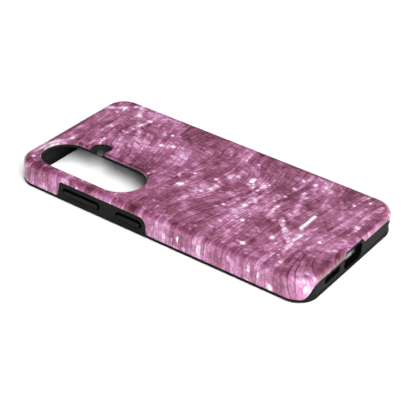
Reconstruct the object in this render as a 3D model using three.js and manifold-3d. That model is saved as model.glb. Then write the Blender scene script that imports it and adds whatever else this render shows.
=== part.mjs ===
// Two-layer protective phone case, lying screen side down with its back up.
//
// Units are millimetres. +Z points up through the back, +X towards the end with the charging port,
// -Y towards the side with the buttons. The origin is the centre of the footprint, on the surface
// that the front lip lies on.
//
// Four mouldings: a soft inner liner that holds the phone, a hard outer shell that caps it and lifts
// off along +Z, and two button covers that sit in the liner's side wall.

import * as THREE from 'three';
import { mergeVertices } from 'three/addons/utils/BufferGeometryUtils.js';
import Module from 'manifold-3d';

// ---------------------------------------------------------------- driving dimensions

// The phone, and the play it has in its cavity.
const PHONE = { length: 146.9, width: 70.5, thickness: 7.2, corner: 6.8 };
const PHONE_PLAY = 0.15;

// The case as a whole.
const CASE = { length: 152.8, width: 77.2, height: 11.6, corner: 9.9, topRound: 2.5, footRound: 0.6 };

// Wall thicknesses, and the clearance between the shell and the liner.
const SHELL_WALL = 1.3;
const SHELL_ROOF = 1.6;
const LAYER_GAP = 0.2;
const LINER_ROOF = 1.2;
const INNER_ROUND = 1.2;

// The phone's cavity has small rounded edges, and the lip reaches in over the rim of the screen.
const CAVITY_ROUND = 0.8;
const LIP_REACH = 1.4;

// Where the shell's lower edge runs: just above the lip on the sides, high over the port end.
const EDGE_LOW = 1.6;
const EDGE_HIGH = 8.3;
const RAMP = { start: 2.0, lowHandle: 5.3, highHandle: 5.5, end: 10.3 };

// The flush parts of the liner that show through the shell.
const FLUSH_RECESS = 0.35;
const PANEL = { left: -52.3, right: -3.0, top: 9.15, lean: 1.2, leftRound: 2.4, rightRound: 3.2 };
const PORT_NOTCH = { halfWidth: 8.1, top: 10.5, round: 2.4 };

// Openings in the port end.
const PORT_HOLE = { halfWidth: 7.2, bottom: 1.5, top: 9.2, round: 2.6 };
const SPEAKER_SLOT = { y: -17.1, z: 4.95, length: 12.4, height: 3.05, round: 1.3 };

// Camera opening: a stadium along X, with a round lobe on its far side for the flash.
const CAMERA = { left: -60.35, right: -30.1, y: -21.6, radius: 11.6 };
const LOBE = { x: -52.75, y: -6.1, radius: 4.7, blend: 1.8 };
const FLASH = { x: -52.2, y: -7.1, radius: 1.9, mouth: 4.9 };

// Microphone hole through the end beside the camera.
const MICROPHONE = { y: 9.0, z: 4.95, radius: 0.9 };

// Button covers: pills in the side wall with a groove round them, each with a flange behind that
// keeps it captive. A pill sits low in its slot, so its groove is wider above than below. The flange
// stands back from the phone, with play in front of it for the key to tilt and clearance round it.
const KEY_SLOT_HEIGHT = 3.8;
const KEY_Z = 4.8;
const KEY_GROOVE = 0.75;
const KEY_DROP = 0.35;
const KEY_FLANGE = { overlap: 0.55, thickness: 0.7, recess: 0.5, play: 0.35, clearance: 0.65 };
const VOLUME_SLOT = { x: -38.8, length: 20.8 };
const POWER_SLOT = { x: -12.85, length: 13.9 };

// Facets round a quarter of a corner, over a small rounded edge, along a curve of a side window's
// outline, and round a whole hole.
const CORNER_STEPS = 8;
const EDGE_STEPS = 4;
const WINDOW_STEPS = 6;
const HOLE_STEPS = 24;

// Cutters run this far past the faces that they cut.
const OVERSHOOT = 2;

// A pill's ends have nearly half its height as their radius, which leaves its straight ends a length.
const FULL_ROUND = 0.999;

// ---------------------------------------------------------------- derived dimensions

const SHELL_CEILING = CASE.height - SHELL_ROOF;
const LINER_TOP = SHELL_CEILING - LAYER_GAP;
const CAVITY_CEILING = LINER_TOP - LINER_ROOF;
const CAVITY = {
  length: PHONE.length + 2 * PHONE_PLAY,
  width: PHONE.width + 2 * PHONE_PLAY,
  corner: PHONE.corner + PHONE_PLAY,
  bottom: CAVITY_CEILING - PHONE.thickness - 2 * PHONE_PLAY,
  top: CAVITY_CEILING,
};
const END_X = CASE.length / 2;
const SIDE_Y = CASE.width / 2;
const CORE_INSET = SHELL_WALL + LAYER_GAP;
const FLANGE_TOP = EDGE_LOW - LAYER_GAP;

// ---------------------------------------------------------------- solids

const wasm = await Module();
wasm.setup();

// A closed three.js geometry as a solid that can be joined and cut.
function solid(geometry) {
  const bare = geometry.clone();
  bare.deleteAttribute('normal');
  bare.deleteAttribute('uv');
  const merged = mergeVertices(bare, 1e-4);
  return new wasm.Manifold(new wasm.Mesh({
    numProp: 3,
    vertProperties: new Float32Array(merged.attributes.position.array),
    triVerts: new Uint32Array(merged.index.array),
  }));
}

function geometryOf(body) {
  const mesh = body.getMesh();
  const geometry = new THREE.BufferGeometry();
  geometry.setAttribute('position', new THREE.BufferAttribute(mesh.vertProperties, 3));
  geometry.setIndex(new THREE.BufferAttribute(mesh.triVerts, 1));
  geometry.computeVertexNormals();
  return geometry;
}

function joined(bodies) {
  return bodies.reduce((whole, body) => whole.add(body));
}

function cut(body, cutters) {
  return cutters.reduce((rest, cutter) => rest.subtract(cutter), body);
}

// A rectangle with rounded corners, from two opposite corners.
function roundedRect(x0, y0, x1, y1, radius) {
  const shape = new THREE.Shape();
  shape.moveTo(x0 + radius, y0);
  shape.lineTo(x1 - radius, y0);
  shape.absarc(x1 - radius, y0 + radius, radius, -Math.PI / 2, 0);
  shape.lineTo(x1, y1 - radius);
  shape.absarc(x1 - radius, y1 - radius, radius, 0, Math.PI / 2);
  shape.lineTo(x0 + radius, y1);
  shape.absarc(x0 + radius, y1 - radius, radius, Math.PI / 2, Math.PI);
  shape.lineTo(x0, y0 + radius);
  shape.absarc(x0 + radius, y0 + radius, radius, Math.PI, 1.5 * Math.PI);
  return shape;
}

// A slab centred on the Z axis with a rounded-rectangle plan and rounded upper and lower edges.
function slab({ length, width, corner, bottom, top, topRound = 0, bottomRound = 0 }) {
  const profile = [
    ...edgeProfile(bottom, bottomRound, 1),
    ...edgeProfile(top, topRound, -1).reverse(),
  ];
  const rings = profile.map(([inset, z]) => {
    const outline = roundedRect(
      inset - length / 2, inset - width / 2,
      length / 2 - inset, width / 2 - inset, corner - inset,
    );
    const points = outline.getPoints(CORNER_STEPS / 2);
    return points.slice(0, -1).map((p) => new THREE.Vector3(p.x, p.y, z));
  });
  return solid(loftedRings(rings));
}

// Points [inset, z] of a rounded edge: from the flat face at z, outwards to the upright side.
function edgeProfile(z, radius, inward) {
  if (radius === 0) return [[0, z]];
  return Array.from({ length: EDGE_STEPS + 1 }, (_, i) => {
    const angle = (i / EDGE_STEPS) * Math.PI / 2;
    return [radius * (1 - Math.sin(angle)), z + inward * radius * (1 - Math.cos(angle))];
  });
}

// Closed skin over rings of equally many points, stacked upwards, with flat ends.
function loftedRings(rings) {
  const count = rings[0].length;
  const index = [];
  for (let level = 0; level + 1 < rings.length; level += 1) {
    for (let i = 0; i < count; i += 1) {
      const a = level * count + i;
      const b = level * count + (i + 1) % count;
      index.push(a, b, b + count, a, b + count, a + count);
    }
  }
  const lid = THREE.ShapeUtils.triangulateShape(rings[0], []);
  const topStart = (rings.length - 1) * count;
  for (const [a, b, c] of lid) {
    index.push(a, c, b, topStart + a, topStart + b, topStart + c);
  }
  const geometry = new THREE.BufferGeometry().setFromPoints(rings.flat());
  geometry.setIndex(index);
  return geometry;
}

function extruded(shape, depth, steps) {
  return new THREE.ExtrudeGeometry(shape, { depth, bevelEnabled: false, curveSegments: steps });
}

// A prism standing on the XY plane, between two heights.
function uprightPrism(shape, bottom, top) {
  return solid(extruded(shape, top - bottom, HOLE_STEPS / 2).translate(0, 0, bottom));
}

// A prism whose outline is drawn in (y, z), running along X.
function lengthwisePrism(shape, from, to) {
  const turned = extruded(shape, to - from, WINDOW_STEPS)
    .applyMatrix4(new THREE.Matrix4().set(0, 0, 1, from, 1, 0, 0, 0, 0, 1, 0, 0, 0, 0, 0, 1));
  return solid(turned);
}

// A prism whose outline is drawn in (x, z), running along Y.
function crosswisePrism(shape, from, to) {
  const turned = extruded(shape, to - from, WINDOW_STEPS)
    .applyMatrix4(new THREE.Matrix4().set(1, 0, 0, 0, 0, 0, -1, to, 0, 1, 0, 0, 0, 0, 0, 1));
  return solid(turned);
}

// ---------------------------------------------------------------- outlines

// The whole case's outer skin, or the same skin set in by a distance.
function caseSkin(inset, bottom) {
  return slab({
    length: CASE.length - 2 * inset,
    width: CASE.width - 2 * inset,
    corner: CASE.corner - inset,
    bottom,
    top: CASE.height - inset,
    topRound: CASE.topRound - inset,
  });
}

// The camera opening's outline: a stadium whose far side swells into the flash lobe.
function cameraOutline() {
  const far = CAMERA.y + CAMERA.radius;
  const blendY = far + LOBE.blend;
  const reach = LOBE.radius + LOBE.blend;
  const offset = Math.sqrt(reach ** 2 - (LOBE.y - blendY) ** 2);
  const tilt = Math.atan2(LOBE.y - blendY, offset);
  const shape = new THREE.Shape();
  shape.moveTo(CAMERA.left, CAMERA.y - CAMERA.radius);
  shape.lineTo(CAMERA.right, CAMERA.y - CAMERA.radius);
  shape.absarc(CAMERA.right, CAMERA.y, CAMERA.radius, -Math.PI / 2, Math.PI / 2);
  shape.lineTo(LOBE.x + offset, far);
  shape.absarc(LOBE.x + offset, blendY, LOBE.blend, -Math.PI / 2, Math.PI - tilt, true);
  shape.absarc(LOBE.x, LOBE.y, LOBE.radius, -tilt, Math.PI + tilt);
  shape.absarc(LOBE.x - offset, blendY, LOBE.blend, tilt, -Math.PI / 2, true);
  shape.lineTo(CAMERA.left, far);
  shape.absarc(CAMERA.left, CAMERA.y, CAMERA.radius, Math.PI / 2, 1.5 * Math.PI);
  return shape;
}

function stadium(x0, x1, y, radius) {
  return roundedRect(x0 - radius, y - radius, x1 + radius, y + radius, radius * FULL_ROUND);
}

// The button window in (x, z), open downwards, with sides that lean towards each other. Drawn
// smaller by a margin, it is the part of the liner that fills the window.
function panelOutline(margin) {
  const { left, right, top, lean, leftRound, rightRound } = PANEL;
  const slope = lean / (top - EDGE_LOW);
  const x0 = left + margin;
  const x1 = right - margin;
  const z0 = EDGE_LOW - OVERSHOOT;
  const z1 = top - margin;
  const leanAt = (z) => slope * (z - EDGE_LOW);
  const shape = new THREE.Shape();
  shape.moveTo(x0, z0);
  shape.lineTo(x1, z0);
  shape.lineTo(x1, EDGE_LOW);
  shape.lineTo(x1 - leanAt(z1 - rightRound), z1 - rightRound);
  shape.quadraticCurveTo(x1 - leanAt(z1), z1, x1 - leanAt(z1) - rightRound, z1);
  shape.lineTo(x0 + leanAt(z1) + leftRound, z1);
  shape.quadraticCurveTo(x0 + leanAt(z1), z1, x0 + leanAt(z1 - leftRound), z1 - leftRound);
  shape.lineTo(x0, EDGE_LOW);
  return shape;
}

// The port end's window in (y, z): low at both corners, sweeping up in an S to run high across the
// end, with a notch over the port. The margin makes it smaller, as for the button window.
function portEndOutline(margin) {
  const low = EDGE_LOW - margin;
  const high = EDGE_HIGH - margin;
  const notchTop = PORT_NOTCH.top - margin;
  const notchHalf = PORT_NOTCH.halfWidth - margin;
  const at = (distance) => SIDE_Y - distance - margin;
  const shape = new THREE.Shape();
  shape.moveTo(-at(RAMP.start), low - OVERSHOOT);
  shape.lineTo(at(RAMP.start), low - OVERSHOOT);
  shape.lineTo(at(RAMP.start), low);
  shape.bezierCurveTo(at(RAMP.lowHandle), low, at(RAMP.highHandle), high, at(RAMP.end), high);
  shape.lineTo(notchHalf, high);
  shape.lineTo(notchHalf, notchTop - PORT_NOTCH.round);
  shape.quadraticCurveTo(notchHalf, notchTop, notchHalf - PORT_NOTCH.round, notchTop);
  shape.lineTo(PORT_NOTCH.round - notchHalf, notchTop);
  shape.quadraticCurveTo(-notchHalf, notchTop, -notchHalf, notchTop - PORT_NOTCH.round);
  shape.lineTo(-notchHalf, high);
  shape.lineTo(-at(RAMP.end), high);
  shape.bezierCurveTo(-at(RAMP.highHandle), high, -at(RAMP.lowHandle), low, -at(RAMP.start), low);
  return shape;
}

function keyOutline(slot, grow, drop = 0) {
  const halfLength = slot.length / 2 + grow;
  const halfHeight = KEY_SLOT_HEIGHT / 2 + grow;
  const z = KEY_Z - drop;
  return roundedRect(
    slot.x - halfLength, z - halfHeight,
    slot.x + halfLength, z + halfHeight, halfHeight * FULL_ROUND,
  );
}

// ---------------------------------------------------------------- cutters shared by both layers

function microphoneHole() {
  const depth = 4 * OVERSHOOT;
  const drill = new THREE.CylinderGeometry(MICROPHONE.radius, MICROPHONE.radius, depth, HOLE_STEPS);
  drill.rotateZ(Math.PI / 2).translate(-END_X, MICROPHONE.y, MICROPHONE.z);
  return solid(drill);
}

// ---------------------------------------------------------------- the outer shell

function outerShell() {
  const hollow = slab({
    length: CASE.length - 2 * SHELL_WALL,
    width: CASE.width - 2 * SHELL_WALL,
    corner: CASE.corner - SHELL_WALL,
    bottom: EDGE_LOW - OVERSHOOT,
    top: SHELL_CEILING,
    topRound: INNER_ROUND,
  });
  return cut(caseSkin(0, EDGE_LOW), [
    hollow,
    crosswisePrism(panelOutline(0), -SIDE_Y - OVERSHOOT, -SIDE_Y + CORE_INSET + OVERSHOOT),
    lengthwisePrism(portEndOutline(0), END_X - CASE.corner, END_X + OVERSHOOT),
    uprightPrism(cameraOutline(), SHELL_CEILING - OVERSHOOT, CASE.height + OVERSHOOT),
    microphoneHole(),
  ]);
}

// ---------------------------------------------------------------- the inner liner

// The tray under the shell: a foot flange at full width and a core set in by the shell's thickness.
function linerBlank() {
  const flange = slab({
    ...CASE, bottom: 0, top: FLANGE_TOP, topRound: 0, bottomRound: CASE.footRound,
  });
  const core = slab({
    length: CASE.length - 2 * CORE_INSET,
    width: CASE.width - 2 * CORE_INSET,
    corner: CASE.corner - CORE_INSET,
    bottom: FLANGE_TOP / 2,
    top: LINER_TOP,
    topRound: INNER_ROUND - LAYER_GAP,
  });
  return joined([flange, core, buttonPanel(), portBlock()]);
}

// The raised block that fills the shell's button window.
function buttonPanel() {
  const prism = crosswisePrism(
    panelOutline(LAYER_GAP), -SIDE_Y - OVERSHOOT, -SIDE_Y + CORE_INSET + OVERSHOOT / 2,
  );
  return caseSkin(FLUSH_RECESS, FLANGE_TOP / 2).intersect(prism);
}

// The raised block that fills the shell's port end, with the tongue that rims the port.
function portBlock() {
  const prism = lengthwisePrism(
    portEndOutline(LAYER_GAP), END_X - CASE.corner + LAYER_GAP, END_X + OVERSHOOT,
  );
  return caseSkin(FLUSH_RECESS, FLANGE_TOP / 2).intersect(prism);
}

function phoneCavity() {
  return slab({ ...CAVITY, topRound: CAVITY_ROUND, bottomRound: CAVITY_ROUND });
}

// The window that the screen shows through, inside the lip.
function screenWindow() {
  return slab({
    length: CAVITY.length - 2 * LIP_REACH,
    width: CAVITY.width - 2 * LIP_REACH,
    corner: CAVITY.corner - LIP_REACH,
    bottom: -OVERSHOOT,
    top: CAVITY.bottom + CAVITY_ROUND,
  });
}

function portHole() {
  const { halfWidth, bottom, top, round } = PORT_HOLE;
  const outline = roundedRect(-halfWidth, bottom, halfWidth, top, round);
  return lengthwisePrism(outline, CAVITY.length / 2 - CAVITY_ROUND, END_X + OVERSHOOT);
}

function speakerSlot() {
  const { y, z, length, height, round } = SPEAKER_SLOT;
  const outline = roundedRect(
    y - length / 2, z - height / 2, y + length / 2, z + height / 2, round,
  );
  return lengthwisePrism(outline, CAVITY.length / 2 - OVERSHOOT, END_X + OVERSHOOT);
}

// A hole for the flash that opens upwards like a shallow funnel, so that light isn't cut off.
function flashFunnel() {
  const { x, y, radius, mouth } = FLASH;
  const slope = (mouth - radius) / (LINER_TOP - CAVITY.top);
  const profile = [
    new THREE.Vector2(0, CAVITY.top - OVERSHOOT),
    new THREE.Vector2(radius, CAVITY.top - OVERSHOOT),
    new THREE.Vector2(radius, CAVITY.top),
    new THREE.Vector2(mouth + slope * OVERSHOOT, LINER_TOP + OVERSHOOT),
    new THREE.Vector2(0, LINER_TOP + OVERSHOOT),
  ];
  const funnel = new THREE.LatheGeometry(profile, HOLE_STEPS);
  return solid(funnel.rotateX(Math.PI / 2).translate(x, y, 0));
}

// A button's slot through the side wall, with a wider pocket behind for its flange.
function keySlot(slot) {
  const { overlap, thickness, recess, play, clearance } = KEY_FLANGE;
  const pocketFront = -CAVITY.width / 2 - recess - thickness - play;
  const inside = -CAVITY.width / 2 + OVERSHOOT;
  return joined([
    crosswisePrism(keyOutline(slot, 0), -SIDE_Y - OVERSHOOT, inside),
    crosswisePrism(keyOutline(slot, overlap + clearance), pocketFront, inside),
  ]);
}

function innerLiner() {
  const cameraHole = stadium(CAMERA.left, CAMERA.right, CAMERA.y, CAMERA.radius);
  return cut(linerBlank(), [
    phoneCavity(),
    screenWindow(),
    portHole(),
    speakerSlot(),
    microphoneHole(),
    uprightPrism(cameraHole, CAVITY.top - OVERSHOOT, LINER_TOP + OVERSHOOT),
    flashFunnel(),
    keySlot(VOLUME_SLOT),
    keySlot(POWER_SLOT),
  ]);
}

// ---------------------------------------------------------------- the button covers

function keyCover(slot) {
  const back = -CAVITY.width / 2 - KEY_FLANGE.recess;
  const flangeFront = back - KEY_FLANGE.thickness;
  return joined([
    crosswisePrism(keyOutline(slot, -KEY_GROOVE, KEY_DROP), -SIDE_Y, back),
    crosswisePrism(keyOutline(slot, KEY_FLANGE.overlap), flangeFront, back),
  ]);
}

// ---------------------------------------------------------------- assembly

function piece(name, body, color, roughness) {
  const material = new THREE.MeshStandardMaterial({ color, roughness, metalness: 0 });
  const mesh = new THREE.Mesh(geometryOf(body), material);
  mesh.name = name;
  return mesh;
}

const PRINTED_PINK = '#a85f8c';
const SOFT_BLACK = '#2a2a2b';

const phoneCase = new THREE.Group();
phoneCase.name = 'phone_case';
phoneCase.add(
  piece('outer_shell', outerShell(), PRINTED_PINK, 0.25),
  piece('inner_liner', innerLiner(), SOFT_BLACK, 0.65),
  piece('volume_button', keyCover(VOLUME_SLOT), SOFT_BLACK, 0.6),
  piece('power_button', keyCover(POWER_SLOT), SOFT_BLACK, 0.6),
);

export default phoneCase;
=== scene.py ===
"""Two-layer phone case: a printed hard shell over a soft black liner, lying on a pale floor.

The pieces are shaped as distance fields in millimetres, in the CAD's own frame, and turned into
meshes in metres. A field is negative inside, positive outside, and about 1 per millimetre.
"""

from math import cos, pi, radians, sin

import bmesh
import bpy
import numpy as np
import openvdb
from mathutils import Matrix, Vector


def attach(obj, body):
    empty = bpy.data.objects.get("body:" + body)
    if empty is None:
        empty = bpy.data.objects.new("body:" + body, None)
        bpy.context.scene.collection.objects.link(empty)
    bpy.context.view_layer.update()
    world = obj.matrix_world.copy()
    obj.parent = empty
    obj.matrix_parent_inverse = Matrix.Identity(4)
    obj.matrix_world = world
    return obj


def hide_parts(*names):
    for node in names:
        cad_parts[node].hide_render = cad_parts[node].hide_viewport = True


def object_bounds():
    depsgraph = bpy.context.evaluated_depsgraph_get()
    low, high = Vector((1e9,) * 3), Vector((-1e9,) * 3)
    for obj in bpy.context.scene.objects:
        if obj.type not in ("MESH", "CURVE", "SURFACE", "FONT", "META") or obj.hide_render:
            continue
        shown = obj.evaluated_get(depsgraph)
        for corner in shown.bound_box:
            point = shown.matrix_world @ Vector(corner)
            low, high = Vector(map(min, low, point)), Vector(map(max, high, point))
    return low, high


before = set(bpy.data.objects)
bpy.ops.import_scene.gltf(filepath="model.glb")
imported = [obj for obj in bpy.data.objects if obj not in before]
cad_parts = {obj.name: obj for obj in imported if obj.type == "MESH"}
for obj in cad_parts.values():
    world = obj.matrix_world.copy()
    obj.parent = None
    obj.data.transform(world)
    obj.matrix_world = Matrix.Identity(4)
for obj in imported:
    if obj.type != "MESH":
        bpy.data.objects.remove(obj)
cad_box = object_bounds()

MM = 0.001
FINE = 0.25

# ------------------------------------------------------------------ dimensions, in millimetres

# The whole case. Its box is read from the CAD, and its foot is rounder than the CAD's.
LOW, HIGH = (np.array(corner) / MM for corner in cad_box)
HALF_X = (HIGH[0] - LOW[0]) / 2
HALF_Y = (HIGH[1] - LOW[1]) / 2
HEIGHT = HIGH[2]
CORNER = 9.9
TOP_ROUND = 2.5
FOOT_ROUND = 0.9

# Walls and layers, as in the CAD.
SHELL_WALL = 1.3
SHELL_ROOF = 1.6
SHELL_CEILING = HEIGHT - SHELL_ROOF
LAYER_GAP = 0.2
LINER_TOP = SHELL_CEILING - LAYER_GAP
LINER_ROOF = 1.2
CAVITY_TOP = LINER_TOP - LINER_ROOF
CAVITY_BOTTOM = 1.1
CAVITY_HALF_X = 73.6
CAVITY_HALF_Y = 35.4
CAVITY_CORNER = 6.95
CAVITY_ROUND = 0.8
LIP_REACH = 1.4
EDGE_LOW = 1.6
EDGE_HIGH = 8.3
FLANGE_TOP = EDGE_LOW - LAYER_GAP
CORE_INSET = SHELL_WALL + LAYER_GAP
FLUSH_RECESS = 0.35
EDGE_SOFTENING = 0.15

# The S-shaped rise of the shell's edge at the port end: distances from the long side.
RAMP = (2.0, 5.3, 5.5, 10.3)

# The button window in the near side, and the notch over the port.
PANEL_LEFT, PANEL_RIGHT, PANEL_TOP, PANEL_LEAN = -52.3, -3.0, 9.15, 1.2
NOTCH_HALF, NOTCH_TOP, NOTCH_ROUND = 8.1, 10.5, 2.0

# Camera opening and flash.
CAMERA_LEFT, CAMERA_RIGHT, CAMERA_Y, CAMERA_RADIUS = -60.35, -30.1, -21.6, 11.6
LOBE_X, LOBE_Y, LOBE_RADIUS, LOBE_BLEND = -52.75, -6.1, 4.7, 1.8
CAMERA_EDGE = 0.7
FLASH_X, FLASH_Y, FLASH_RADIUS, FLASH_MOUTH = -52.2, -7.1, 1.9, 4.9

# Openings in the ends.
PORT_HALF, PORT_BOTTOM, PORT_TOP, PORT_ROUND = 7.2, 1.5, 9.2, 2.6
SPEAKER_Y, SPEAKER_Z, SPEAKER_HALF, SPEAKER_HALF_HEIGHT, SPEAKER_ROUND = -17.1, 4.95, 6.2, 1.52, 1.3
MIC_Y, MIC_Z, MIC_RADIUS = 9.0, 4.95, 0.9

# The bar of foil on the back: its middle, and half its length.
MARK_X, MARK_Y, MARK_HALF = 52.6, 0.85, 6.4

# The film is drawn down over the sides, and stretches. This is sheet per case, past the crease.
FILM_STRETCH = 0.5
CREASE_Y = HALF_Y - TOP_ROUND

# The veins and glows of the print are placed at random over that sheet.
PRINT_SEED = 11
SHEET_X, SHEET_Y = 74.0, 44.0
VEIN_COUNT, VEIN_STEP = 14, 7.0
GLOW_COUNT = 22

# Buttons.
KEY_Z, KEY_SLOT_HALF, KEY_GROOVE = 4.8, 1.9, 0.75
KEY_DROP = 0.35
KEY_RECESS, KEY_FLANGE_THICKNESS = 0.5, 0.7
KEY_BACK = CAVITY_HALF_Y + KEY_RECESS
KEY_FLANGE_FRONT = KEY_BACK + KEY_FLANGE_THICKNESS
KEY_PLAY = 0.35
KEY_OVERLAP = 0.55
KEY_CLEARANCE = 0.65
VOLUME_X, VOLUME_HALF = -38.8, 10.4
POWER_X, POWER_HALF = -12.85, 6.95

# A span that covers every grid, and the distance over which slopes are measured.
EVERYWHERE = [(-99, 99)]
SLOPE_STEP = 0.01


# ------------------------------------------------------------------ distance fields

def box2(x, y, half_x, half_y, radius):
    """A rounded rectangle in a plane."""
    qx = np.abs(x) - (half_x - radius)
    qy = np.abs(y) - (half_y - radius)
    outside = np.hypot(np.maximum(qx, 0), np.maximum(qy, 0))
    return outside + np.minimum(np.maximum(qx, qy), 0) - radius


def pill2(x, y, half_length, half_height):
    return box2(x, y, half_length, half_height, half_height * 0.999)


def both(a, b, rounding=0.0):
    """What two fields share, with the edge between them rounded off."""
    if rounding == 0:
        return np.maximum(a, b)
    return (np.minimum(-rounding, np.maximum(a, b))
            + np.hypot(np.maximum(a + rounding, 0), np.maximum(b + rounding, 0)))


def either(a, b, rounding=0.0):
    """Two fields joined, with a fillet in the corner between them."""
    if rounding == 0:
        return np.minimum(a, b)
    return (np.maximum(rounding, np.minimum(a, b))
            - np.hypot(np.maximum(rounding - a, 0), np.maximum(rounding - b, 0)))


def without(body, tool, rounding=0.0):
    return both(body, -tool, rounding)


def slab(p, inset, bottom, top, bottom_round=0.0, top_round=0.0):
    """A slab with the case's plan, set in by a distance."""
    plan = box2(p[0], p[1], HALF_X - inset, HALF_Y - inset, CORNER - inset)
    return both(both(plan, p[2] - top, top_round), bottom - p[2], bottom_round)


def stadium(p):
    x = p[0] - (CAMERA_LEFT + CAMERA_RIGHT) / 2
    half = (CAMERA_RIGHT - CAMERA_LEFT) / 2 + CAMERA_RADIUS
    return pill2(x, p[1] - CAMERA_Y, half, CAMERA_RADIUS)


def camera_outline(p):
    lobe = np.hypot(p[0] - LOBE_X, p[1] - LOBE_Y) - LOBE_RADIUS
    return either(stadium(p), lobe, LOBE_BLEND)


def panel_outline(p):
    """The button window in the near side: leaning ends, round upper corners, open below."""
    slope = PANEL_LEAN / (PANEL_TOP - EDGE_LOW)
    lean = slope * (p[2] - EDGE_LOW)
    left = (PANEL_LEFT + lean - p[0]) / np.hypot(1, slope)
    right = (p[0] - PANEL_RIGHT + lean) / np.hypot(1, slope)
    top = p[2] - PANEL_TOP
    return np.maximum(both(left, top, 2.0), both(right, top, 2.8))


def ramp_height(distance):
    """Height of the shell's edge at the port end, by distance from the long side."""
    t = np.linspace(0, 1, 60)
    weights = np.array([(1 - t) ** 3, 3 * t * (1 - t) ** 2, 3 * t * t * (1 - t), t ** 3])
    across = np.array(RAMP) @ weights
    up = np.array([EDGE_LOW, EDGE_LOW, EDGE_HIGH, EDGE_HIGH]) @ weights
    return np.interp(distance, across, up)


def port_end_outline(p):
    """The window across the port end, with a notch over the port."""
    distance = HALF_Y - np.abs(p[1])
    slope = (ramp_height(distance + 0.1) - ramp_height(distance - 0.1)) / 0.2
    below = (p[2] - ramp_height(distance)) / np.hypot(1, slope)
    middle = NOTCH_TOP / 2
    notch = box2(p[1], p[2] - middle, NOTCH_HALF, NOTCH_TOP - middle, NOTCH_ROUND)
    return either(below, notch, 0.5)


def near_wall(p):
    """The near long side, as deep as both layers."""
    return p[1] + CAVITY_HALF_Y - 0.3


def port_wall(p):
    return HALF_X - CORNER - p[0]


def mic_hole(p):
    return both(np.hypot(p[1] - MIC_Y, p[2] - MIC_Z) - MIC_RADIUS, p[0] + HALF_X - CORNER)


# ------------------------------------------------------------------ the pieces' fields

def shell_field(p):
    skin = slab(p, 0, EDGE_LOW, HEIGHT, EDGE_SOFTENING, TOP_ROUND)
    skin = without(skin, both(camera_outline(p), 8 - p[2]), CAMERA_EDGE)
    hollow = slab(p, SHELL_WALL, -5, SHELL_CEILING, 0, 1.2)
    body = without(skin, hollow, 0.2)
    body = without(body, both(panel_outline(p), near_wall(p)), EDGE_SOFTENING)
    body = without(body, both(port_end_outline(p), port_wall(p)), EDGE_SOFTENING)
    body = without(body, ejector_marks(p), 0.05)
    return without(body, mic_hole(p), 0.15)


def ejector_marks(p):
    """Shallow round witness marks of the mould's pins on the shell's ceiling."""
    rings = 9.0
    for x in (-15, 22, 58):
        for y in (-26, 26):
            rings = np.minimum(rings, np.abs(np.hypot(p[0] - x, p[1] - y) - 2.5) - 0.15)
    return both(rings, p[2] - SHELL_CEILING - 0.15)


def liner_field(p):
    flange = slab(p, 0, 0, FLANGE_TOP, FOOT_ROUND, 0.15)
    core = slab(p, CORE_INSET, FLANGE_TOP / 2, LINER_TOP, 0, 1.0)
    core = without(core, honeycomb(p), 0.1)
    body = either(flange, core, 0.2)
    flush = slab(p, FLUSH_RECESS, FLANGE_TOP / 2, HEIGHT - FLUSH_RECESS, 0, TOP_ROUND - FLUSH_RECESS)
    panel = both(both(panel_outline(p) + LAYER_GAP + 0.1, near_wall(p)), flush, 0.1)
    port = both(both(port_end_outline(p) + LAYER_GAP + 0.1, port_wall(p) + LAYER_GAP), flush, 0.1)
    body = either(either(body, panel, 0.6), port, 0.6)
    body = without(body, phone_room(p), 0.3)
    body = without(body, ceiling_recess(p), 0.1)
    body = without(body, port_hole(p), 0.35)
    body = without(body, speaker_slot(p), 0.3)
    body = without(body, mic_hole(p), 0.15)
    body = without(body, both(stadium(p), CAVITY_TOP - 2 - p[2]), 0.35)
    body = without(body, flash_funnel(p), 0.15)
    body = without(body, key_slot(p, VOLUME_X, VOLUME_HALF), 0.2)
    return without(body, key_slot(p, POWER_X, POWER_HALF), 0.2)


def phone_room(p):
    """The cavity, and the window inside the lip that the screen shows through."""
    plan = box2(p[0], p[1], CAVITY_HALF_X, CAVITY_HALF_Y, CAVITY_CORNER)
    cavity = both(both(plan, p[2] - CAVITY_TOP, CAVITY_ROUND), CAVITY_BOTTOM - p[2], CAVITY_ROUND)
    return np.minimum(cavity, both(plan + LIP_REACH, p[2] - CAVITY_BOTTOM - CAVITY_ROUND))


def ceiling_recess(p):
    """A shallow panel in the ceiling, and air pockets in the walls at the corners."""
    plan = box2(p[0], p[1], CAVITY_HALF_X - 6, CAVITY_HALF_Y - 6, CAVITY_CORNER - 3)
    panel = both(both(plan, 3 - stadium(p)), p[2] - CAVITY_TOP - 0.25)
    ring = np.abs(box2(p[0], p[1], CAVITY_HALF_X, CAVITY_HALF_Y, CAVITY_CORNER)) - 0.35
    turned = (np.abs(p[0]) - np.abs(p[1]) - (CAVITY_HALF_X - CAVITY_HALF_Y)) / np.sqrt(2)
    comb = np.abs((turned + 1.5) % 3.0 - 1.5) - 0.75
    near_corner = np.abs(turned) - 5.2
    pockets = both(both(both(ring, comb), near_corner), np.abs(p[2] - 5.2) - 2.4)
    return np.minimum(panel, pockets)


def honeycomb(p):
    """Shallow hexagons moulded into the liner's back, where the shell covers them."""
    cell, web = 6.4, 1.1
    row = cell * np.sqrt(3) / 2
    nearest = 99.0
    for shift in (0, 1):
        x = (p[0] + shift * cell / 2 + cell / 2) % cell - cell / 2
        y = (p[1] + shift * row + row) % (2 * row) - row
        across = np.maximum(np.abs(x), np.abs(x) / 2 + np.abs(y) * np.sqrt(3) / 2)
        nearest = np.minimum(nearest, across)
    hexagon = nearest - (cell - web) / 2
    plan = box2(p[0], p[1], HALF_X - 7, HALF_Y - 7, 5)
    field = both(both(hexagon, plan), 3.2 - camera_outline(p))
    return both(field, LINER_TOP - 0.35 - p[2])


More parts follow.
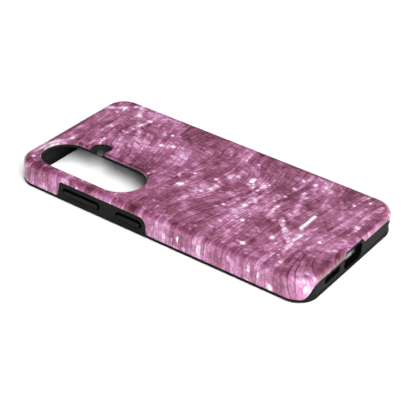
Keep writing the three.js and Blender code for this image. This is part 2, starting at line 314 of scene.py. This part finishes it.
def port_hole(p):
    middle = (PORT_TOP + PORT_BOTTOM) / 2
    outline = box2(p[1], p[2] - middle, PORT_HALF, PORT_TOP - middle, PORT_ROUND)
    return both(outline, CAVITY_HALF_X - CAVITY_ROUND - p[0])


def speaker_slot(p):
    outline = box2(p[1] - SPEAKER_Y, p[2] - SPEAKER_Z,
                   SPEAKER_HALF, SPEAKER_HALF_HEIGHT, SPEAKER_ROUND)
    return both(outline, CAVITY_HALF_X - 2 - p[0])


def flash_funnel(p):
    """A hole that opens upwards, so that the flash isn't cut off."""
    radius = np.hypot(p[0] - FLASH_X, p[1] - FLASH_Y)
    slope = (FLASH_MOUTH - FLASH_RADIUS) / (LINER_TOP - CAVITY_TOP)
    cone = (radius - FLASH_RADIUS - slope * (p[2] - CAVITY_TOP)) / np.hypot(1, slope)
    return both(np.minimum(radius - FLASH_RADIUS, cone), CAVITY_TOP - 2 - p[2])


def key_slot(p, x, half):
    """A button's slot, with a wider pocket behind it for the button's flange."""
    outline = pill2(p[0] - x, p[2] - KEY_Z, half, KEY_SLOT_HALF)
    inside = p[1] + CAVITY_HALF_Y - 2
    pocket = both(outline - KEY_OVERLAP - KEY_CLEARANCE, -KEY_FLANGE_FRONT - KEY_PLAY - p[1])
    return both(np.minimum(outline, pocket), inside)


def key_face(p, x, half):
    """A button's outline. It sits low in its slot, so the groove is wider above it."""
    return pill2(p[0] - x, p[2] - KEY_Z + KEY_DROP, half, KEY_SLOT_HALF) + KEY_GROOVE


def key_field(x, half, dip):
    """A pill with a softly rounded face, a flange behind it, and perhaps a dip at its middle."""
    def field(p):
        outline = pill2(p[0] - x, p[2] - KEY_Z, half, KEY_SLOT_HALF)
        hollow = dip * np.exp(-((p[0] - x) / 1.5) ** 2)
        face = both(key_face(p, x, half), -p[1] - HALF_Y + hollow, 0.2)
        flange = both(outline - KEY_OVERLAP, -p[1] - KEY_FLANGE_FRONT, 0.1)
        return both(either(face, flange, 0.1), p[1] + KEY_BACK, 0.1)
    return field


# ------------------------------------------------------------------ fields to meshes

def grid_lines(low, high, fine_spans, fine, coarse):
    """Sample positions along one axis: close together in the fine spans, wider elsewhere."""
    lines = [low]
    while lines[-1] < high:
        here = lines[-1]
        is_fine = any(a - 1e-6 <= here < b for a, b in fine_spans)
        step = fine if is_fine else coarse
        starts = [a for a, _ in fine_spans if here + 1e-6 < a < here + step]
        lines.append(min(starts) if starts else here + step)
    return np.array(lines, dtype=np.float32)


def field_mesh(name, field, xs, ys, zs, faces):
    """A mesh of the surface where the field is 0, thinned to about a number of faces."""
    values = field((xs[:, None, None], ys[None, :, None], zs[None, None, :]))
    values = np.broadcast_to(values, (len(xs), len(ys), len(zs)))
    grid = openvdb.FloatGrid(1.0)
    grid.copyFromArray(np.array(values, dtype=np.float32, order="C"))
    points, quads = grid.convertToQuads(0.0)
    lines = (xs, ys, zs)
    points = np.stack(
        [np.interp(points[:, i], np.arange(len(lines[i])), lines[i]) for i in range(3)], axis=1)
    points = settled(field, points)
    mesh = bpy.data.meshes.new(name)
    mesh.from_pydata((points * MM).tolist(), [], quads[:, ::-1].tolist())
    mesh.update()
    piece = bpy.data.objects.new(name, mesh)
    bpy.context.collection.objects.link(piece)
    if 2 * len(quads) > faces:
        thin = piece.modifiers.new("thin", "DECIMATE")
        thin.ratio = faces / (2 * len(quads))
        thin.use_collapse_triangulate = True
    weigh = piece.modifiers.new("weigh", "WEIGHTED_NORMAL")
    weigh.keep_sharp = True
    weigh.weight = 80
    piece.data.shade_smooth()
    apply_modifiers(piece)
    return piece


def settled(field, points, rounds=2, longest_move=0.12):
    """The points moved along the field's slope, on to the surface itself."""
    for _ in range(rounds):
        p = [points[:, i] for i in range(3)]
        value = field(p)
        slope = []
        for i in range(3):
            ahead, behind = list(p), list(p)
            ahead[i] = p[i] + SLOPE_STEP
            behind[i] = p[i] - SLOPE_STEP
            slope.append((field(ahead) - field(behind)) / (2 * SLOPE_STEP))
        slope = np.stack(slope, axis=1)
        size = np.maximum((slope ** 2).sum(axis=1), 0.25)
        move = slope * (value / size)[:, None]
        points = points - np.clip(move, -longest_move, longest_move)
    return points


def apply_modifiers(piece):
    graph = bpy.context.evaluated_depsgraph_get()
    baked = bpy.data.meshes.new_from_object(piece.evaluated_get(graph))
    old = piece.data
    piece.modifiers.clear()
    piece.data = baked
    bpy.data.meshes.remove(old)


def whole_grid(low, high, coarse):
    """Grid lines over the whole case, close together wherever an edge curves in plan."""
    xs = grid_lines(-HALF_X - 1, HALF_X + 1, [(-99, -15), (-5, -1), (64, 99)], FINE, coarse)
    ys = grid_lines(-HALF_Y - 1, HALF_Y + 1, [(-99, 11), (31, 99)], FINE, coarse)
    zs = grid_lines(low, high, EVERYWHERE, FINE, FINE)
    return xs, ys, zs


def vertices(mesh):
    flat = np.empty(3 * len(mesh.vertices), dtype=np.float32)
    mesh.vertices.foreach_get("co", flat)
    return flat.reshape(-1, 3) / MM


def add_print_map(mesh):
    """Stores where each point lies on the printed sheet, and how far it is past the top's edge.

    On the top the sheet is the plan. Over the rounded edge it runs on outwards, stretched, as it
    does when the film is drawn down over the sides.
    """
    p = vertices(mesh).astype(np.float64)
    plan = box2(p[:, 0], p[:, 1], HALF_X, HALF_Y, CORNER)
    outward = np.stack([
        box2(p[:, 0] + SLOPE_STEP, p[:, 1], HALF_X, HALF_Y, CORNER)
        - box2(p[:, 0] - SLOPE_STEP, p[:, 1], HALF_X, HALF_Y, CORNER),
        box2(p[:, 0], p[:, 1] + SLOPE_STEP, HALF_X, HALF_Y, CORNER)
        - box2(p[:, 0], p[:, 1] - SLOPE_STEP, HALF_X, HALF_Y, CORNER)], axis=1) / (2 * SLOPE_STEP)
    past = np.clip((plan + TOP_ROUND) / TOP_ROUND, 0, 1)
    arc = TOP_ROUND * np.arcsin(past)
    down = np.maximum(HEIGHT - TOP_ROUND - p[:, 2], 0) * (past > 0.5)
    inset = np.maximum(plan + TOP_ROUND, 0)
    sheet = p[:, :2] + outward * ((arc + down) * FILM_STRETCH - inset)[:, None]
    edge = np.where(plan + TOP_ROUND > 0, arc + down, plan + TOP_ROUND)
    where = np.concatenate([sheet, edge[:, None]], axis=1).astype(np.float32)
    layer = mesh.attributes.new("print_mm", "FLOAT_VECTOR", "POINT")
    layer.data.foreach_set("vector", where.ravel())


def faces_middle(mesh):
    flat = np.empty(3 * len(mesh.polygons), dtype=np.float32)
    mesh.polygons.foreach_get("center", flat)
    return flat.reshape(-1, 3) / MM


# ------------------------------------------------------------------ shader graphs

class Graph:
    """A material's node tree, with short ways to add to it."""

    def __init__(self, name):
        self.material = bpy.data.materials.new(name)
        self.material.use_nodes = True
        self.nodes = self.material.node_tree.nodes
        self.links = self.material.node_tree.links
        self.shader = self.nodes["Principled BSDF"]

    def node(self, kind, **settings):
        made = self.nodes.new(kind)
        for key, value in settings.items():
            setattr(made, key, value)
        return made

    def plug(self, socket, value):
        if isinstance(value, Value):
            self.links.new(value.socket, socket)
        elif hasattr(value, "links"):
            self.links.new(value, socket)
        else:
            socket.default_value = value

    def math(self, operation, *values):
        made = self.node("ShaderNodeMath", operation=operation)
        for socket, value in zip(made.inputs, values):
            self.plug(socket, value)
        return Value(self, made.outputs[0])

    def vector(self, x=0.0, y=0.0, z=0.0):
        made = self.node("ShaderNodeCombineXYZ")
        for socket, value in zip(made.inputs, (x, y, z)):
            self.plug(socket, value)
        return made.outputs[0]

    def vector_math(self, operation, *values, scale=None, output="Vector"):
        made = self.node("ShaderNodeVectorMath", operation=operation)
        for socket, value in zip(made.inputs, values):
            self.plug(socket, value)
        if scale is not None:
            self.plug(made.inputs["Scale"], scale)
        return made.outputs[output]

    def noise(self, vector, scale, detail=2.0, roughness=0.5):
        """Smooth noise, about -1 to 1."""
        made = self.node("ShaderNodeTexNoise", noise_dimensions="3D", normalize=False)
        self.plug(made.inputs["Vector"], vector)
        made.inputs["Scale"].default_value = scale
        made.inputs["Detail"].default_value = detail
        made.inputs["Roughness"].default_value = roughness
        return Value(self, made.outputs["Fac"])

    def hash(self, x, y=0.0, z=0.0):
        """A random number from 0 to 1 for each whole-number place."""
        made = self.node("ShaderNodeTexWhiteNoise", noise_dimensions="3D")
        self.plug(made.inputs["Vector"], self.vector(x, y, z))
        return Value(self, made.outputs["Value"])

    def ramp(self, value, stops):
        made = self.node("ShaderNodeValToRGB")
        elements = made.color_ramp.elements
        while len(elements) < len(stops):
            elements.new(0.5)
        for element, (place, color) in zip(elements, stops):
            element.position = place
            element.color = (*color, 1)
        self.plug(made.inputs["Fac"], value)
        return made.outputs["Color"]

    def smooth_step(self, value, low, high, at_low=0.0, at_high=1.0):
        made = self.node("ShaderNodeMapRange", interpolation_type="SMOOTHSTEP")
        self.plug(made.inputs["Value"], value)
        for key, number in (("From Min", low), ("From Max", high),
                            ("To Min", at_low), ("To Max", at_high)):
            made.inputs[key].default_value = number
        return Value(self, made.outputs["Result"])

    def mix(self, factor, a, b, blend="MIX"):
        made = self.node("ShaderNodeMix", data_type="RGBA", blend_type=blend)
        self.plug(made.inputs["Factor"], factor)
        colors = [s for s in made.inputs if s.type == "RGBA"]
        self.plug(colors[0], a)
        self.plug(colors[1], b)
        return [s for s in made.outputs if s.type == "RGBA"][0]

    def bump(self, height, strength, distance_mm):
        made = self.node("ShaderNodeBump")
        made.inputs["Strength"].default_value = strength
        made.inputs["Distance"].default_value = distance_mm * MM
        self.plug(made.inputs["Height"], height)
        self.links.new(made.outputs["Normal"], self.shader.inputs["Normal"])


class Value:
    """A number in a shader graph. Arithmetic on it adds nodes."""

    def __init__(self, graph, socket):
        self.graph = graph
        self.socket = socket

    def __add__(self, other):
        return self.graph.math("ADD", self, other)

    def __sub__(self, other):
        return self.graph.math("SUBTRACT", self, other)

    def __mul__(self, other):
        return self.graph.math("MULTIPLY", self, other)

    def __truediv__(self, other):
        return self.graph.math("DIVIDE", self, other)

    def max(self, other):
        return self.graph.math("MAXIMUM", self, other)

    def min(self, other):
        return self.graph.math("MINIMUM", self, other)

    def floor(self):
        return self.graph.math("FLOOR", self)

    def fract(self):
        return self.graph.math("FRACT", self)

    def abs(self):
        return self.graph.math("ABSOLUTE", self)

    __radd__ = __add__
    __rmul__ = __mul__


def linear(red, green, blue):
    """A screen colour from 0 to 255 as the light it stands for."""
    return tuple(
        c / 255 / 12.92 if c <= 10 else ((c / 255 + 0.055) / 1.055) ** 2.4
        for c in (red, green, blue))


# ------------------------------------------------------------------ materials

def printed_film():
    """The printed sheet: long strips of small tiles, light veins, and sparkles in clusters."""
    graph = Graph("printed_film")
    place = graph.node("ShaderNodeAttribute", attribute_name="print_mm")
    parts = graph.node("ShaderNodeSeparateXYZ")
    graph.links.new(place.outputs["Vector"], parts.inputs["Vector"])
    x, y, edge = (Value(graph, s) for s in parts.outputs)
    flat = graph.vector(x, y, 0.0)

    # Flow: strips run across the sheet and wander gently.
    broad = graph.noise(graph.vector(x, y * 0.6, 3.0), 1 / 45, 1.0)
    local = graph.noise(graph.vector(x, y * 0.5, 9.0), 1 / 12, 1.0)
    flow = x + broad * 11.0 + local * 1.2

    # Strips of uneven width, and a finer grain of lines inside them.
    strip, strip_edge = strips(graph, flow, 1.9, 0.8)
    _, fine_edge = strips(graph, flow + 51.3, 0.75, 1.0)

    # Tiles along each strip, out of step with the next strip's.
    strip_code = (strip * 7.13).floor()
    tile_length = 1.5
    along = (y - local * 2.0) / tile_length + graph.hash(strip_code) * 40.0
    tile = along.floor()
    from_middle = (along.fract() - 0.5).abs()
    tile_edge = (from_middle * -1.0 + 0.5) * tile_length
    tile_code = graph.hash(strip_code, tile, 5.0)
    tile_look = graph.hash(strip_code, tile, 11.0)

    # Lightness from large to small.
    patches = graph.noise(flat, 1 / 20, 2.0)
    streaks = graph.noise(graph.vector(strip * 0.7, y / 22.0, 1.0), 1.0, 1.0)
    fibres = graph.noise(graph.vector(flow * 1.3, y / 6.0, 4.0), 1.0, 2.0)
    grain = graph.noise(flat, 1.0, 3.0, 0.6)
    mottle = graph.noise(flat, 1 / 4.5, 1.0)
    base = 0.382
    light = patches * 0.23 + mottle * 0.12 + streaks * 0.20 + fibres * 0.12 + grain * 0.12 + base
    lit_tile = graph.smooth_step(tile_look + patches * 0.3 + streaks * 0.3, 0.78, 0.90)
    light = light + (tile_code - 0.5) * 0.17 + lit_tile * 0.12

    # Dark gaps between strips, fainter ones between tiles.
    gap_depth = graph.smooth_step(graph.noise(graph.vector(flow, y / 9.0, 8.0), 0.4), -0.4, 0.5)
    on_side = graph.smooth_step(edge, 0.5, 3.0, 1.0, 0.55)
    gaps = graph.smooth_step(strip_edge, 0.05, 0.26, 1.0, 0.0) * (gap_depth + 0.12) * on_side
    hairs = graph.smooth_step(fine_edge, 0.02, 0.16, 1.0, 0.0)
    seams = graph.smooth_step(tile_edge, 0.03, 0.20, 1.0, 0.0)
    light = light - gaps * 0.24 - hairs * gap_depth * 0.06 - seams * 0.09

    # Paler down the sides: partly the stretched film, partly painted light for the more brightly lit
    # sides, rising further down the wall.
    stretch_and_painted_side_light = graph.smooth_step(edge, 1.2, 3.2) * 0.04 + graph.smooth_step(edge, 5.0, 11.0) * 0.06
    light = light + stretch_and_painted_side_light

    # Veins and sparkles.
    bright = veins(graph, flat, tile_code, local, grain) + sparkles(graph, flat)
    light = light + bright * away_from_mark(graph, flat)

    color = graph.ramp(light, [
        (0.06, linear(80, 34, 52)), (0.20, linear(112, 58, 82)), (0.32, linear(136, 78, 105)),
        (0.42, linear(153, 93, 125)), (0.50, linear(168, 107, 145)), (0.58, linear(186, 126, 167)),
        (0.68, linear(198, 154, 186)), (0.80, linear(207, 189, 202)), (0.97, linear(229, 230, 229))])

    # Painted shade: the film is darkened along the crease, all the way round, and redder there, in
    # place of the shade on the rounded edge. The same factor carries the painted shade line along the
    # camera opening.
    painted_edge_shade = graph.smooth_step((edge - 0.5).abs(), 0.7, 2.1, 0.74, 1.0)
    painted_edge_shade = painted_edge_shade * camera_edge_shade(graph, flat)
    color = graph.mix(1.0, color, graph.vector(painted_edge_shade, painted_edge_shade * 1.5 - 0.5, painted_edge_shade * 1.2 - 0.2), "MULTIPLY")
    graph.plug(graph.shader.inputs["Base Color"], color)
    graph.plug(graph.shader.inputs["Roughness"], grain * 0.05 + 0.33)

    # Glossy on top and round the edge, satin down the sides.
    gloss = graph.smooth_step(edge, 3.0, 5.0, 1.0, 0.2)
    graph.plug(graph.shader.inputs["Coat Weight"], gloss * 0.5)
    graph.shader.inputs["Specular IOR Level"].default_value = 0.3
    graph.shader.inputs["Coat Roughness"].default_value = 0.1
    graph.bump(grain + graph.noise(flat, 5.0, 1.0) * 0.3, 0.12, 0.02)
    return graph.material


def away_from_mark(graph, flat):
    """Keeps the print plain round the silver mark."""
    gap = distance_to_segment(graph, flat, (MARK_X, MARK_Y - MARK_HALF), (MARK_X, MARK_Y + MARK_HALF))
    return graph.smooth_step(gap, 2.5, 5.0)


def camera_edge_shade(graph, flat):
    """A thin line of painted shade on the print along the camera opening's rounded edge."""
    middle_line = distance_to_segment(graph, flat, (CAMERA_LEFT, CAMERA_Y), (CAMERA_RIGHT, CAMERA_Y))
    lobe = graph.vector_math("DISTANCE", flat, (LOBE_X, LOBE_Y, 0.0), output="Value")
    away = (middle_line - CAMERA_RADIUS).min(Value(graph, lobe) - LOBE_RADIUS)
    return graph.smooth_step((away - 0.35).abs(), 0.1, 0.5, 0.5, 1.0)


def strips(graph, flow, pitch, unevenness):
    """The middle of the strip at a place, and the distance in mm to its edge."""
    found = []
    for feature in ("F1", "DISTANCE_TO_EDGE"):
        cells = graph.node("ShaderNodeTexVoronoi", voronoi_dimensions="1D", feature=feature)
        graph.plug(cells.inputs["W"], flow / pitch)
        cells.inputs["Scale"].default_value = 1.0
        cells.inputs["Randomness"].default_value = unevenness
        found.append(cells)
    return Value(graph, found[0].outputs["W"]), Value(graph, found[1].outputs["Distance"]) * pitch


def random_veins():
    """The width and strength of each vein in mm, and the points that it wanders through."""
    draw = np.random.RandomState(PRINT_SEED)
    found = []
    for _ in range(VEIN_COUNT):
        x, y = draw.uniform(-SHEET_X, SHEET_X), draw.uniform(-0.4, 0.9) * SHEET_Y
        lean = draw.uniform(-0.8, 0.8)
        points = [(x, y)]
        for _ in range(draw.randint(2, 4)):
            lean += draw.uniform(-0.3, 0.3)
            x, y = x + lean * VEIN_STEP, y - VEIN_STEP
            points.append((x, y))
        found.append((draw.uniform(1.0, 2.8), draw.uniform(0.7, 1.0), points))
    return found


def random_glows():
    """The place and radius of each glow, in mm."""
    draw = np.random.RandomState(PRINT_SEED + 1)
    return [(draw.uniform(-SHEET_X, SHEET_X), draw.uniform(-SHEET_Y, SHEET_Y), draw.uniform(1.3, 2.6))
            for _ in range(GLOW_COUNT)]


def veins(graph, flat, tile_code, wander, grain):
    total = None
    breadth = graph.noise(flat, 1 / 4.0, 2.0) * 0.9 + 1.1
    for width, strength, points in random_veins():
        nearest = None
        for start, end in zip(points, points[1:]):
            gap = distance_to_segment(graph, flat, start, end)
            nearest = gap if nearest is None else nearest.min(gap)
        ragged = nearest * breadth + wander * 0.6 + grain * 0.5
        body = graph.smooth_step(ragged, width * 0.3, width, strength, 0.0)
        total = body if total is None else total.max(body)
    return total * (tile_code * 0.24 + 0.20)


def distance_to_segment(graph, flat, start, end):
    """Distance in mm from a place on the sheet to a short straight line."""
    run = (end[0] - start[0], end[1] - start[1], 0.0)
    length = (run[0] ** 2 + run[1] ** 2) ** 0.5
    offset = graph.vector_math("SUBTRACT", flat, (start[0], start[1], 0.0))
    unit = (run[0] / length, run[1] / length, 0.0)
    reach = Value(graph, graph.vector_math("DOT_PRODUCT", offset, unit, output="Value"))
    foot = graph.vector_math("SCALE", unit, scale=reach.max(0.0).min(length))
    return Value(graph, graph.vector_math("DISTANCE", offset, foot, output="Value"))


def sparkles(graph, flat):
    """Small glints in clusters, and a few wider glows."""
    cluster = graph.noise(flat, 1 / 15, 1.0) * 0.4 - 0.06
    shape = graph.noise(flat, 0.9, 1.0) * 0.3
    dots = graph.node("ShaderNodeTexVoronoi", voronoi_dimensions="2D", feature="F1")
    graph.plug(dots.inputs["Vector"], flat)
    cell = 3.4
    dots.inputs["Scale"].default_value = 1 / cell
    away = Value(graph, dots.outputs["Distance"]) * cell + shape
    code = graph.node("ShaderNodeSeparateColor")
    graph.links.new(dots.outputs["Color"], code.inputs["Color"])
    chosen = graph.smooth_step(Value(graph, code.outputs["Red"]) + cluster, 0.9, 1.04)
    growth = Value(graph, code.outputs["Green"]) * 0.35
    glints = graph.smooth_step(away - growth, 0.2, 1.0, 1.0, 0.0) * chosen
    for x, y, size in random_glows():
        unstretch = (1.0, 1 / FILM_STRETCH if abs(y) > CREASE_Y else 1.0, 1.0)
        offset = graph.vector_math("SUBTRACT", flat, (x, y, 0.0))
        offset = graph.vector_math("MULTIPLY", offset, unstretch)
        gap = graph.vector_math("LENGTH", offset, output="Value")
        glow = graph.smooth_step(Value(graph, gap) + shape * 2.0, 0.2, size, 1.0, 0.0)
        glints = glints.max(glow)
    return glints * 0.52


def raw_plastic():
    graph = Graph("raw_plastic")
    where = graph.node("ShaderNodeTexCoord").outputs["Object"]
    flow = graph.noise(where, 60.0, 3.0)
    color = graph.ramp(flow * 0.5 + 0.5, [(0.2, (0.78, 0.78, 0.77)), (0.8, (0.85, 0.85, 0.84))])
    graph.plug(graph.shader.inputs["Base Color"], color)
    graph.plug(graph.shader.inputs["Roughness"], flow * 0.06 + 0.42)
    graph.bump(graph.noise(where, 2200.0, 2.0), 0.25, 0.03)
    return graph.material


def soft_rubber(name, shade, roughness):
    """Black rubber with a fine grain, almost without shine, and with painted contact shade right at
    the foot.
    """
    graph = Graph(name)
    where = graph.node("ShaderNodeTexCoord").outputs["Object"]
    broad = graph.noise(where, 45.0, 3.0)
    grain = graph.noise(where, 3500.0, 2.0)
    foot = graph.node("ShaderNodeSeparateXYZ")
    graph.links.new(where, foot.inputs["Vector"])
    # Painted contact shade: the colour falls to near black below 1.6 mm.
    painted_foot_shade = graph.smooth_step(Value(graph, foot.outputs["Z"]), 0.8 * MM, 1.6 * MM, 0.05, 1.0)
    color = graph.ramp(
        (broad * 0.5 + 0.5) * painted_foot_shade,
        [(0.0, (shade * 0.3,) * 3), (0.3, (shade * 0.8,) * 3), (0.9, (shade * 1.2,) * 3)])
    graph.plug(graph.shader.inputs["Base Color"], color)
    graph.plug(graph.shader.inputs["Roughness"], broad * 0.07 + roughness)
    graph.shader.inputs["Specular IOR Level"].default_value = 0.08
    graph.bump(grain, 0.35, 0.03)
    return graph.material


def groove_shadow():
    """Painted shadow: dead matt black in place of the rubber, for the narrow channels round the
    buttons and the holes' inner walls.
    """
    graph = Graph("groove_shadow")
    where = graph.node("ShaderNodeTexCoord").outputs["Object"]
    broad = graph.noise(where, 300.0, 1.0)
    color = graph.ramp(broad * 0.5 + 0.5, [(0.2, (0.0015,) * 3), (0.8, (0.0025,) * 3)])
    graph.plug(graph.shader.inputs["Base Color"], color)
    graph.shader.inputs["Roughness"].default_value = 0.9
    graph.shader.inputs["Specular IOR Level"].default_value = 0.02
    return graph.material


def silver_foil():
    graph = Graph("silver_foil")
    where = graph.node("ShaderNodeTexCoord").outputs["Object"]
    brushed = graph.noise(where, 900.0, 2.0)
    color = graph.ramp(brushed * 0.5 + 0.5, [(0.2, (0.72, 0.71, 0.72)), (0.8, (0.9, 0.89, 0.9))])
    graph.plug(graph.shader.inputs["Base Color"], color)
    graph.shader.inputs["Metallic"].default_value = 0.25
    graph.plug(graph.shader.inputs["Roughness"], brushed * 0.05 + 0.4)
    return graph.material


# ------------------------------------------------------------------ pieces

def give_material(piece, *materials):
    piece.data.materials.clear()
    for material in materials:
        piece.data.materials.append(material)


def make_shell():
    xs, ys, zs = whole_grid(EDGE_LOW - 1, HEIGHT + 1, 1.5)
    piece = field_mesh("printed_shell", shell_field, xs, ys, zs, 120_000)
    add_print_map(piece.data)
    give_material(piece, printed_film(), raw_plastic())
    middle = faces_middle(piece.data)
    plan = box2(middle[:, 0], middle[:, 1], HALF_X, HALF_Y, CORNER)
    inner = (plan < -SHELL_WALL / 2) & (middle[:, 2] < SHELL_CEILING + 0.1)
    piece.data.polygons.foreach_set("material_index", inner.astype(np.int32))
    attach(piece, "shell")
    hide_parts("outer_shell")


def make_liner(material, shadow):
    xs, ys, zs = whole_grid(-1, HEIGHT + 0.5, 0.5)
    piece = field_mesh("soft_liner", liner_field, xs, ys, zs, 150_000)
    give_material(piece, material, shadow)
    x, y, z = faces_middle(piece.data).T
    hole = np.minimum(port_hole((x, y, z)), speaker_slot((x, y, z)))
    for key_x, half in ((VOLUME_X, VOLUME_HALF), (POWER_X, POWER_HALF)):
        hole = np.minimum(hole, key_slot((x, y, z), key_x, half))
    sunk = (y > FLUSH_RECESS + 0.12 - HALF_Y) & (x < HALF_X - FLUSH_RECESS - 0.12)
    # Hole and slot walls set back from the outer faces get the painted shadow material instead of the
    # rubber.
    walls = (hole < 0.05) & sunk
    piece.data.polygons.foreach_set("material_index", walls.astype(np.int32))
    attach(piece, "liner")
    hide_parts("inner_liner")


def make_key(name, body, node, x, half, dip, material, shadow):
    step = FINE / 2
    xs = grid_lines(x - half - 1.5, x + half + 1.5, EVERYWHERE, step, step)
    ys = grid_lines(-HALF_Y - 0.7, -KEY_BACK + 0.8, EVERYWHERE, step, step)
    zs = grid_lines(KEY_Z - 3.4, KEY_Z + 3.4, EVERYWHERE, step, step)
    piece = field_mesh(name, key_field(x, half, dip), xs, ys, zs, 16_000)
    give_material(piece, material, shadow)
    middle = faces_middle(piece.data).T
    # Faces down in the groove round the key's face get the painted shadow material.
    sunk = (key_face(middle, x, half) > -0.12) | (middle[1] > 1.0 - HALF_Y)
    piece.data.polygons.foreach_set("material_index", sunk.astype(np.int32))
    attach(piece, body)
    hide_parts(node)


def make_mark():
    """A plain bar of silver foil on the shell's back."""
    half_x, half_y, radius, thick, rim_steps = 0.8, MARK_HALF, 0.75, 0.05, 64
    x, y = MARK_X, MARK_Y
    work = bmesh.new()
    rim = []
    for i in range(rim_steps):
        angle = 2 * pi * i / rim_steps
        cx = (half_x - radius) * (1 if cos(angle) >= 0 else -1)
        cy = (half_y - radius) * (1 if sin(angle) >= 0 else -1)
        rim.append((x + cx + radius * cos(angle), y + cy + radius * sin(angle)))
    low = [work.verts.new((a * MM, b * MM, (HEIGHT - 0.01) * MM)) for a, b in rim]
    high = [work.verts.new((a * MM, b * MM, (HEIGHT + thick) * MM)) for a, b in rim]
    work.faces.new(high)
    work.faces.new(low[::-1])
    for i in range(rim_steps):
        j = (i + 1) % rim_steps
        work.faces.new((low[i], low[j], high[j], high[i]))
    mesh = bpy.data.meshes.new("silver_mark")
    work.to_mesh(mesh)
    work.free()
    piece = bpy.data.objects.new("silver_mark", mesh)
    bpy.context.collection.objects.link(piece)
    give_material(piece, silver_foil())
    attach(piece, "shell")


# ------------------------------------------------------------------ stage

def make_floor():
    mesh = bpy.data.meshes.new("floor")
    work = bmesh.new()
    bmesh.ops.create_grid(work, x_segments=1, y_segments=1, size=3.0)
    work.to_mesh(mesh)
    work.free()
    floor = bpy.data.objects.new("floor", mesh)
    floor.location.z = -0.0001
    bpy.context.collection.objects.link(floor)
    material = bpy.data.materials.new("pale_floor")
    material.use_nodes = True
    shader = material.node_tree.nodes["Principled BSDF"]
    shader.inputs["Base Color"].default_value = (0.94, 0.94, 0.94, 1)
    shader.inputs["Roughness"].default_value = 0.9
    shader.inputs["Specular IOR Level"].default_value = 0.1
    mesh.materials.append(material)


def make_camera():
    """A long lens from above the near right corner, rolled a little."""
    azimuth, elevation, roll = radians(32.72), radians(32.68), radians(3.96)
    distance = 595.4
    target = Vector((8.93, -9.88, 6.07))
    back = Vector((sin(azimuth) * cos(elevation), -cos(azimuth) * cos(elevation), sin(elevation)))
    level = Vector((cos(azimuth), sin(azimuth), 0))
    up = back.cross(level)
    right_axis = level * cos(roll) + up * sin(roll)
    up_axis = up * cos(roll) - level * sin(roll)
    data = bpy.data.cameras.new("camera")
    data.sensor_width = 36
    data.lens = 118.95
    data.clip_end = 20
    camera = bpy.data.objects.new("camera", data)
    turn = Matrix((right_axis, up_axis, back)).transposed().to_4x4()
    camera.matrix_world = Matrix.Translation((target + back * distance) * MM) @ turn
    bpy.context.collection.objects.link(camera)
    bpy.context.scene.camera = camera


def make_light(name, azimuth, elevation, size, power):
    """A square soft box aimed at the case. Azimuth 0 is the near side, 90 the +X end."""
    distance_m = 2.5
    a, e = radians(azimuth), radians(elevation)
    away = Vector((sin(a) * cos(e), -cos(a) * cos(e), sin(e)))
    data = bpy.data.lights.new(name, "AREA")
    data.shape = "SQUARE"
    data.size = size
    data.energy = power
    light = bpy.data.objects.new(name, data)
    light.location = away * distance_m
    light.rotation_euler = away.to_track_quat("Z", "Y").to_euler()
    bpy.context.collection.objects.link(light)


def make_world():
    """A dim studio that is brighter near the horizon."""
    world = bpy.data.worlds.new("studio")
    bpy.context.scene.world = world
    world.use_nodes = True
    nodes, links = world.node_tree.nodes, world.node_tree.links
    direction = nodes.new("ShaderNodeTexCoord")
    parts = nodes.new("ShaderNodeSeparateXYZ")
    links.new(direction.outputs["Generated"], parts.inputs["Vector"])
    ramp = nodes.new("ShaderNodeValToRGB")
    stops = [(0.0, 1.0), (0.1, 0.9), (0.22, 0.15), (0.42, 0.07), (0.7, 0.05)]
    while len(ramp.color_ramp.elements) < len(stops):
        ramp.color_ramp.elements.new(0.5)
    for element, (place, shade) in zip(ramp.color_ramp.elements, stops):
        element.position = place
        element.color = (shade, shade, shade, 1)
    links.new(parts.outputs["Z"], ramp.inputs["Fac"])
    links.new(ramp.outputs["Color"], nodes["Background"].inputs["Color"])
    nodes["Background"].inputs["Strength"].default_value = 1.2


bpy.context.scene.view_settings.view_transform = "Standard"
make_camera()
make_floor()
make_world()
make_light("overhead", 50, 76, 2.0, 48)
make_light("side", 50, 38, 1.4, 60)
make_light("end", 112, 32, 1.0, 16)
make_light("back", 185, 8, 1.4, 14)

make_shell()
shadow = groove_shadow()
BLACK = 0.0095
make_liner(soft_rubber("liner_rubber", BLACK, 0.6), shadow)
key_rubber = soft_rubber("key_rubber", BLACK, 0.55)
make_key("volume_cover", "volume_key", "volume_button", VOLUME_X, VOLUME_HALF, 0.3, key_rubber, shadow)
make_key("power_cover", "power_key", "power_button", POWER_X, POWER_HALF, 0.0, key_rubber, shadow)
make_mark()
